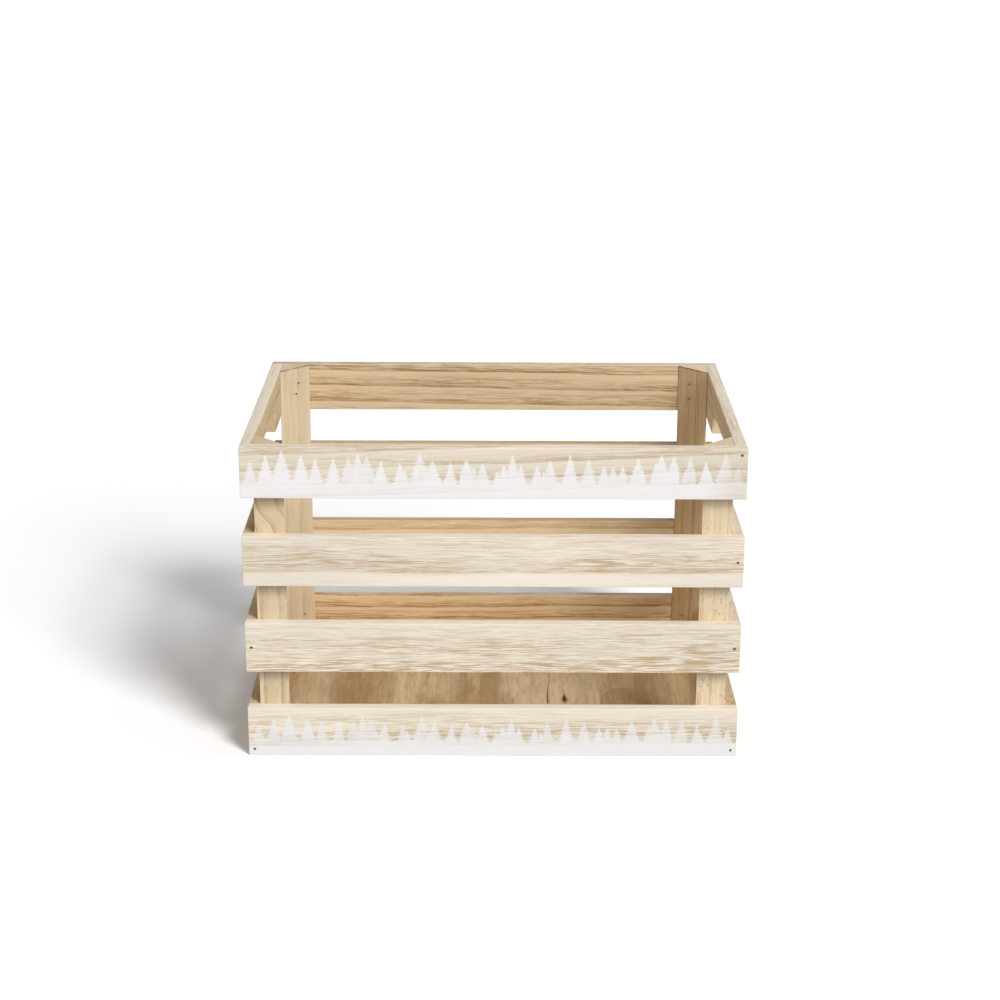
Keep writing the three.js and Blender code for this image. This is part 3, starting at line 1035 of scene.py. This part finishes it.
def floor_wood(name, wood, left, knot, arch, eye, dark_stripes_and_shade, pale_stripes_and_light):
    """Mottled floor panel with a knot, an arch where the saw left a ring, and a small eye."""
    material, g = new_material(name)
    parts = wood_parts(g, wood.floor_pale, wood.floor_tan, wood, tan_share=0.4, streak_share=0.35)
    y, across, _ = g.split(g.attribute("face_at", "Vector"))
    x = g.plus(across, left)

    def offset_from(x_at, y_at, wide, long):
        return g.over(g.minus(x, x_at), wide), g.over(g.minus(y, y_at), long)

    def length_of(dx, dy):
        return g.math("SQRT", g.plus(g.times(dx, dx), g.times(dy, dy)))

    def darken(surface, factor):
        return g.mix(factor, surface, wood.floor_tan)

    surface = parts["colour"]
    mottle = g.noise(g.stretch(parts["at"], (9, 40, 40)), 4.0, 0.6)
    surface = darken(surface, g.ramp(mottle, 0.42, 0.64, 0.0, 0.62))
    ragged = g.times(g.minus(mottle, 0.5), 0.35)

    def stripe(middle, half, amount):
        aside = g.math("ABSOLUTE", g.over(g.minus(x, middle), half))
        return g.ramp(g.plus(aside, ragged), 0.5, 1.2, amount, 0.0)

    # The stripes next to the end slats are painted shade and painted light; the others are the wood's own.
    for given in dark_stripes_and_shade:
        surface = darken(surface, stripe(*given))
    for given in pale_stripes_and_light:
        surface = g.mix(stripe(*given), surface, wood.floor_pale)
    dabs = g.noise(g.stretch(parts["at"], (60, 420, 420)), 3.0, 0.6)
    surface = darken(surface, g.ramp(dabs, 0.46, 0.66, 0.0, 0.26))
    from_arch = g.plus(length_of(*offset_from(*arch)), g.times(ragged, 0.5))
    rings = g.math("SINE", g.times(from_arch, 26.0))
    inside = g.times(g.ramp(from_arch, 0.90, 1.0, 1.0, 0.0), g.math("MULTIPLY_ADD", rings, 0.09, 0.30))
    rim = g.times(g.ramp(from_arch, 0.92, 0.98), g.ramp(from_arch, 0.98, 1.04, 0.6, 0.0))
    surface = darken(surface, g.larger(inside, rim))
    from_eye = length_of(*offset_from(*eye))
    eye_rim = g.times(g.ramp(from_eye, 0.6, 0.95), g.ramp(from_eye, 1.0, 1.4, 1.0, 0.0))
    surface = g.mix(g.times(eye_rim, 0.4), surface, wood.floor_pale)
    # The knot runs out to a point towards the back.
    knot_x, knot_y = offset_from(*knot)
    knot_x = g.over(knot_x, g.ramp(knot_y, -0.2, 2.0, 1.0, 0.12))
    knot_y = g.over(knot_y, g.ramp(knot_y, -0.2, 0.2, 1.0, 2.2))
    from_knot = length_of(knot_x, knot_y)
    surface = darken(surface, g.ramp(from_knot, 0.9, 2.4, 0.8, 0.0))
    surface = g.mix(g.ramp(from_knot, 0.8, 1.2, 0.92, 0.0), surface, wood.knot)
    parts["colour"] = g.mix(g.times(g.attribute("crack_near"), 0.9), surface, wood.crack)
    shade_wood(g, parts)
    return material


def steel(name, settings):
    """Drawn wire with tarnish in patches."""
    material, g = new_material(name)
    at = g.add("ShaderNodeTexCoord").outputs["Object"]
    tarnish = g.noise(g.stretch(at, (1400, 1400, 1400)), 3.0, 0.6)
    drawn = g.noise(g.stretch(at, (500, 500, 4000)), 2.0)
    surface = g.mix(g.ramp(tarnish, 0.38, 0.62, 0.25, 1.0), settings.bright, settings.dark)
    bump = g.add("ShaderNodeBump", {"Strength": 0.4, "Distance": 0.05 * MM, "Height": drawn})
    shader = g.add("ShaderNodeBsdfPrincipled", {
        "Base Color": surface, "Metallic": 0.8, "Roughness": g.ramp(tarnish, 0.3, 0.7, 0.38, 0.62),
        "Normal": bump.outputs[0]})
    g.add("ShaderNodeOutputMaterial", {"Surface": shader.outputs[0]})
    return material


# ---------------------------------------------------------------- pieces


def finish_board(piece, node, axes, material, nails, edge_radius, segments=2, chip_count=0,
                 cutters=(), notch=None):
    """What every board goes through: sanding, nail holes, chips, grain, a slight bend, and its finish."""
    sizes = bpy.context.scene.kindling_box.sizes
    rng = seeded(node)
    low, high = (np.array(corner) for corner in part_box(node))
    round_edges(piece, edge_radius, segments)
    cutters = [*cutters, *holes_for(node, nails, sizes.hole_gap)]
    cutters += chips(node, low, high, axes, rng, chip_count, sizes.chip)
    cut(piece, cutters)
    note_grain(piece, axes, rng, sawn(node, rng))
    note_edges(piece, axes, low, high, notch)
    note_nails(piece, [nail.head for nail in nails if node in nail.into])
    note_face(piece, axes, low)
    bend(piece, axes, rng, sizes.bow)
    smooth_by_angle(piece, 32)
    piece.data.materials.clear()
    piece.data.materials.append(material)
    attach(piece, "root")
    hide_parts(node)


def make_slat(node, along, material, nails, edge_radius, notch=None):
    """A slat whose grain runs along X or Y, flat in Z, from its node's box."""
    low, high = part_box(node)
    through = Y if along == X else X
    axes = (along, Z, through)
    if notch:
        cells = notched_cells(low[along], high[along], low[Z], high[Z], *notch)
    else:
        stations = spread(low[along], high[along], STATION)
        cells = grid_cells(stations, [low[Z]] * len(stations), [high[Z]] * len(stations), SLAT_ROWS)
    faces_and_middle = list(np.linspace(low[through], high[through], 3))
    piece = plate(f"{node}_wood", cells, faces_and_middle, axes)
    finish_board(piece, node, axes, material, nails, edge_radius, 3, CHIPS_PER_SLAT, notch=notch)


class KINDLING_OT_front_slats(bpy.types.Operator):
    """Build the four front slats, with the treeline on the top and bottom ones"""

    bl_idname = "kindling.front_slats"
    bl_label = "Front slats"

    # Past the slat's end, so that no stretch of the paint is rubbed.
    NOT_RUBBED = 500 * MM

    def execute(self, context):
        box = context.scene.kindling_box
        wood, paint = box.wood, box.paint
        bare = bare_wood("front_wood", wood.front_pale, wood.front_tan, wood)
        painted = {
            1: painted_wood("front_wood_treeline", wood, paint, paint.white, paint.tallest,
                            paint.rubbed_from),
            4: painted_wood("front_wood_treeline_low", wood, paint, paint.white_low, paint.tallest_low,
                            self.NOT_RUBBED),
        }
        nails = all_nails()
        for level in LEVELS:
            make_slat(f"front_slat_{level}", X, painted.get(level, bare), nails,
                      box.sizes.edge_round)
        return {"FINISHED"}


class KINDLING_OT_back_slats(bpy.types.Operator):
    """Build the four back slats"""

    bl_idname = "kindling.back_slats"
    bl_label = "Back slats"

    def execute(self, context):
        box = context.scene.kindling_box
        wood = box.wood
        material = bare_wood("wall_wood", wood.wall_pale, wood.wall_tan, wood,
                             edge=wood.back_edge, edge_share=0.7)
        nails = all_nails()
        for level in LEVELS:
            make_slat(f"back_slat_{level}", X, material, nails, box.sizes.edge_round)
        return {"FINISHED"}


class KINDLING_OT_end_slats(bpy.types.Operator):
    """Build the left and right end slats, with a hand hold under each top one"""

    bl_idname = "kindling.end_slats"
    bl_label = "End slats"

    def execute(self, context):
        box = context.scene.kindling_box
        sizes, wood = box.sizes, box.wood
        material = bare_wood("end_wood", wood.wall_pale, wood.wall_tan, wood,
                             edge=wood.end_edge, edge_share=0.8)
        nails = all_nails()
        for side in ("left", "right"):
            for level in LEVELS:
                node = f"{side}_slat_{level}"
                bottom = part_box(node)[0].z
                half = sizes.hand_hold_width / 2
                notch = (-half, half, bottom + sizes.hand_hold_height, sizes.hand_hold_round)
                make_slat(node, Y, material, nails, sizes.edge_round,
                          notch if level == 1 else None)
        return {"FINISHED"}


class KINDLING_OT_corner_posts(bpy.types.Operator):
    """Build the four corner posts"""

    bl_idname = "kindling.corner_posts"
    bl_label = "Corner posts"

    CELL_HEIGHT = 6 * MM
    # How far below a post's upper end the dark line keeps its strength, and where it ends.
    BURN_WIDTH, BURN_END = 0.9 * MM, 1.5 * MM

    def execute(self, context):
        box = context.scene.kindling_box
        material = post_wood("post_wood", box.wood)
        nails = all_nails()
        tip = box.sizes.post_tip
        for face, side in CORNERS:
            node = f"post_{face}_{side}"
            low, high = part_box(node)
            sx, sy = TOWARDS[side], TOWARDS[face]
            corner = (high.x if sx > 0 else low.x, high.y if sy > 0 else low.y)
            leg = high.x - low.x
            outline = [(0, 0), (leg, 0), (leg, tip), (tip, leg), (0, leg)]
            cell = [(corner[0] - sx * a, corner[1] - sy * b) for a, b in outline]
            levels = spread(low.z, high.z - self.BURN_END, self.CELL_HEIGHT)
            levels += [high.z - self.BURN_WIDTH, high.z]
            piece = plate(f"{node}_wood", [cell], levels, (X, Y, Z))
            finish_board(piece, node, (Z, X, Y), material, nails, box.sizes.post_round)
            below = high.z - positions(piece.data)[:, Z]
            top_line = np.interp(below, [0, box.sizes.post_round, self.BURN_WIDTH, self.BURN_END], [0, 1, 1, 0])
            note(piece.data, "saw_burn", top_line)
        return {"FINISHED"}


class KINDLING_OT_floor_panel(bpy.types.Operator):
    """Build the floor panel, with its knot and its crack"""

    bl_idname = "kindling.floor_panel"
    bl_label = "Floor panel"

    CELLS_ACROSS = 38
    # Middle from left to right and from front to back, and half the width and length.
    KNOT = (62 * MM, -36 * MM, 1.8 * MM, 5.8 * MM)
    ARCH = (112 * MM, -46 * MM, 19 * MM, 34 * MM)
    EYE = (-118 * MM, -29 * MM, 1.6 * MM, 3.6 * MM)
    # Back and front end of the crack.
    CRACK = ((50 * MM, 26 * MM), (47 * MM, -47 * MM))
    CRACK_WIDTH, CRACK_DEPTH, CRACK_STEPS = 1.5 * MM, 0.7 * MM, 14
    # How far below the panel's face the crack's colour starts, and over what further depth it grows to full.
    CRACK_SHADE = (0.15 * MM, 0.5 * MM)
    # Darker stripes of the panel: middle, half width, and how dark. Some of them are painted shade.
    # The first is painted shade along the left end slat, the last darker wood and painted shade by the right
    # one.
    DARK_STRIPES_AND_SHADE = ((-184 * MM, 10 * MM, 0.45), (-112 * MM, 26 * MM, 0.46), (-20 * MM, 34 * MM, 0.20),
               (142 * MM, 46 * MM, 0.44))
    # Paler stripes, the same. The first is painted light beside the shade along the left end slat.
    PALE_STRIPES_AND_LIGHT = ((-156 * MM, 20 * MM, 0.55), (58 * MM, 34 * MM, 0.40))

    def crack_cutter(self, top):
        """A cutter that is widest just short of its front end."""
        (x_back, y_back), (x_front, y_front) = self.CRACK
        middle = []
        for i in range(self.CRACK_STEPS + 1):
            t = i / self.CRACK_STEPS
            stray = 0.35 * MM * math.sin(7 * t) + 0.15 * MM * math.sin(23 * t + 1)
            half = self.CRACK_WIDTH / 2 * (0.2 + 0.8 * t ** 1.5) * (1 if i < self.CRACK_STEPS else 0.15)
            x, y = x_back + t * (x_front - x_back) + stray, y_back + t * (y_front - y_back)
            middle.append((x, y, half))
        cell = [(x - half, y) for x, y, half in middle] + [(x + half, y) for x, y, half in reversed(middle)]
        return plate("crack", [cell], [top - self.CRACK_DEPTH, top + MM], (X, Y, Z))

    def note_crack(self, piece, top):
        """Writes how deep inside the crack each vertex lies, as the share of the crack's colour it takes."""
        points = positions(piece.data)
        depth = top - points[:, Z]
        (x_back, y_back), (x_front, y_front) = self.CRACK
        middle = np.interp(points[:, Y], [y_front, y_back], [x_front, x_back])
        inside = np.abs(points[:, X] - middle) < 2 * self.CRACK_WIDTH
        inside &= (points[:, Y] > y_front - MM) & (points[:, Y] < y_back + MM)
        inside &= depth < 2 * self.CRACK_DEPTH
        shade_from, shade_over = self.CRACK_SHADE
        note(piece.data, "crack_near", inside * np.clip((depth - shade_from) / shade_over, 0, 1))

    def execute(self, context):
        box = context.scene.kindling_box
        node = "floor_panel"
        low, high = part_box(node)
        stations = spread(low.y, high.y, 2 * STATION)
        cells = grid_cells(stations, [low.x] * len(stations), [high.x] * len(stations), self.CELLS_ACROSS)
        piece = plate(f"{node}_wood", cells, [low.z, high.z], (Y, X, Z))
        material = floor_wood("floor_wood", box.wood, low.x, self.KNOT, self.ARCH, self.EYE, self.DARK_STRIPES_AND_SHADE,
                              self.PALE_STRIPES_AND_LIGHT)
        finish_board(piece, node, (Y, X, Z), material, all_nails(), box.sizes.panel_round,
                     cutters=[self.crack_cutter(high.z)])
        self.note_crack(piece, high.z)
        return {"FINISHED"}


class KINDLING_OT_nails(bpy.types.Operator):
    """Build the nails and brads with their dished heads"""

    bl_idname = "kindling.nails"
    bl_label = "Nails and brads"

    def execute(self, context):
        box = context.scene.kindling_box
        material = steel("nail_steel", box.steel)
        for nail in all_nails():
            piece = lathe(f"{nail.name}_steel", nail_profile(nail), nail.head, nail.direction, NAIL_SIDES)
            smooth_by_angle(piece, 45)
            piece.data.materials.append(material)
            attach(piece, "root")
            if nail.node:
                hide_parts(nail.node)
        return {"FINISHED"}


class KINDLING_OT_stage(bpy.types.Operator):
    """Set up the pale floor, the soft lamps and the camera"""

    bl_idname = "kindling.stage"
    bl_label = "Stage"

    # In metres, how far off the lamps are drawn and how far the camera sees.
    LAMP_DISTANCE, CLIP_END = 3, 200
    # In millimetres, as a lens is given.
    SENSOR_WIDTH = 36

    def seen(self, g):
        """1 where a ray comes from the camera, straight or by way of metal or glass."""
        path = g.add("ShaderNodeLightPath").outputs
        return g.larger(path["Is Camera Ray"], g.larger(path["Is Glossy Ray"], path["Is Transmission Ray"]))

    def floor(self, stage):
        bm = bmesh.new()
        bmesh.ops.create_grid(bm, x_segments=8, y_segments=8, size=stage.floor_size)
        floor = mesh_object("stage_floor", bm)
        material, g = new_material("stage_floor")
        # What the camera sees of the floor is lifted until the lit part is white. The object's shadow stays.
        plain = g.add("ShaderNodeBsdfDiffuse", {"Color": (stage.floor_grey,) * 3})
        bright = g.add("ShaderNodeBsdfDiffuse", {"Color": (stage.floor_white,) * 3})
        chosen = g.add("ShaderNodeMixShader", {0: self.seen(g), 1: plain.outputs[0], 2: bright.outputs[0]})
        g.add("ShaderNodeOutputMaterial", {"Surface": chosen.outputs[0]})
        floor.data.materials.append(material)

    def sun(self, name, power, softness, height, side):
        """A lamp that shines from that height and turned that far to the right of straight in front."""
        lamp = bpy.data.lights.new(name, "SUN")
        lamp.energy = power
        lamp.angle = softness
        level = math.cos(height)
        source = Vector((math.sin(side) * level, -math.cos(side) * level, math.sin(height)))
        made = new_object(name, lamp)
        made.rotation_euler = source.to_track_quat("Z", "Y").to_euler()
        made.location = source * self.LAMP_DISTANCE

    def sky(self, context, power):
        world = bpy.data.worlds.new("soft white room")
        world.use_nodes = True
        world.node_tree.nodes.clear()
        g = Graph(world.node_tree)
        even = g.add("ShaderNodeBackground", {"Color": (1.0, 1.0, 1.0), "Strength": power})
        white = g.add("ShaderNodeBackground", {"Color": (1.0, 1.0, 1.0), "Strength": 1.0})
        chosen = g.add("ShaderNodeMixShader", {0: self.seen(g), 1: even.outputs[0], 2: white.outputs[0]})
        g.add("ShaderNodeOutputWorld", {"Surface": chosen.outputs[0]})
        context.scene.world = world

    def camera(self, context, stage):
        lens = bpy.data.cameras.new("camera")
        lens.sensor_width = self.SENSOR_WIDTH
        lens.lens = stage.lens
        lens.clip_end = self.CLIP_END
        yaw = Matrix.Rotation(stage.camera_yaw, 4, "Z")
        tilt = Matrix.Rotation(math.pi / 2 - stage.camera_pitch, 4, "X")
        roll = Matrix.Rotation(stage.camera_roll, 4, "Z")
        camera = new_object("camera", lens)
        camera.matrix_world = Matrix.Translation(Vector(stage.camera_place)) @ yaw @ tilt @ roll
        context.scene.camera = camera

    def execute(self, context):
        stage = context.scene.kindling_box.stage
        self.floor(stage)
        self.sun("key lamp", stage.key_power, stage.key_softness, stage.key_height, stage.key_side)
        self.sun("low lamp", stage.low_power, stage.key_softness, stage.low_height, stage.key_side)
        self.sky(context, stage.sky_power)
        self.camera(context, stage)
        context.scene.view_settings.view_transform = "Standard"
        return {"FINISHED"}


class KINDLING_PT_panel(bpy.types.Panel):
    """Sizes, colours and pieces of the kindling box"""

    bl_idname = "KINDLING_PT_panel"
    bl_label = "Kindling Box"
    bl_space_type = "VIEW_3D"
    bl_region_type = "UI"
    bl_category = "Kindling Box"

    def draw(self, context):
        box = context.scene.kindling_box
        self.layout.prop(box, "seed")
        for name in ("sizes", "wood", "paint", "steel", "stage"):
            group = getattr(box, name)
            column = self.layout.box().column(align=True)
            column.label(text=name.capitalize())
            for key in group.bl_rna.properties.keys():
                if key not in ("rna_type", "name"):
                    column.prop(group, key)
        for operator in OPERATORS:
            self.layout.operator(operator.bl_idname, text=operator.bl_label)


OPERATORS = (
    KINDLING_OT_stage,
    KINDLING_OT_front_slats,
    KINDLING_OT_back_slats,
    KINDLING_OT_end_slats,
    KINDLING_OT_corner_posts,
    KINDLING_OT_floor_panel,
    KINDLING_OT_nails,
)
CLASSES = (
    KindlingSizes, KindlingWood, KindlingPaint, KindlingSteel, KindlingStage, KindlingBox,
    *OPERATORS, KINDLING_PT_panel,
)


def register():
    for cls in CLASSES:
        bpy.utils.register_class(cls)
    bpy.types.Scene.kindling_box = PointerProperty(type=KindlingBox)


def unregister():
    del bpy.types.Scene.kindling_box
    for cls in reversed(CLASSES):
        bpy.utils.unregister_class(cls)


def main():
    register()
    bpy.ops.kindling.stage()
    bpy.ops.kindling.front_slats()
    bpy.ops.kindling.back_slats()
    bpy.ops.kindling.end_slats()
    bpy.ops.kindling.corner_posts()
    bpy.ops.kindling.floor_panel()
    bpy.ops.kindling.nails()


if __name__ == "__main__":
    main()
